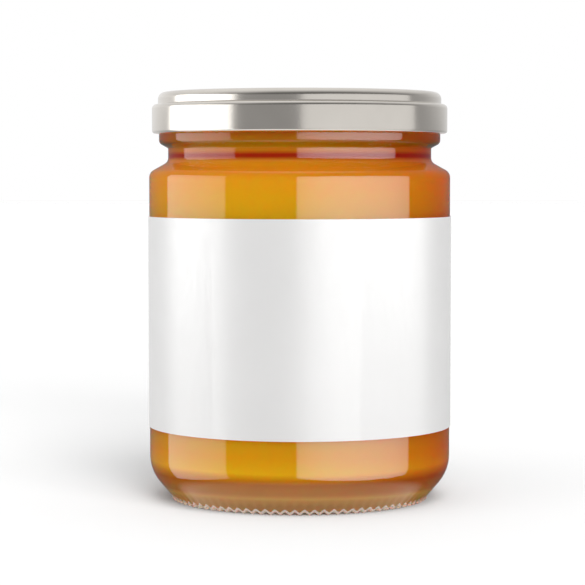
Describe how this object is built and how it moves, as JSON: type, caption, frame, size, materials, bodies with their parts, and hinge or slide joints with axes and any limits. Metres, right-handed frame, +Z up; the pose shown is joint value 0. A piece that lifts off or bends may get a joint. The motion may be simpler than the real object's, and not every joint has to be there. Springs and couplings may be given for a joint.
{
  "type": "glass jar of honey",
  "caption": "Shut round clear glass jar filled with amber honey, with a twist-off metal lid, a blank white wrap label and a ridged base.",
  "frame": {"origin": "centre of the base, on the plane the jar stands on", "axes": "+Z up along the jar's axis; -Y is the front seen in the picture, +X to its right"},
  "size_m": [0.087, 0.087, 0.1168],
  "materials": {
    "clear_glass": "clear, smooth, polished",
    "honey": "clear amber liquid honey",
    "satin_metal": "satin silver tinplate",
    "label_paper": "smooth satin white paper, unprinted"
  },
  "bodies": {
    "root": {"glass_jar": "clear_glass", "honey": "honey", "lid": "satin_metal", "label": "label_paper"}
  },
  "joints": []
}
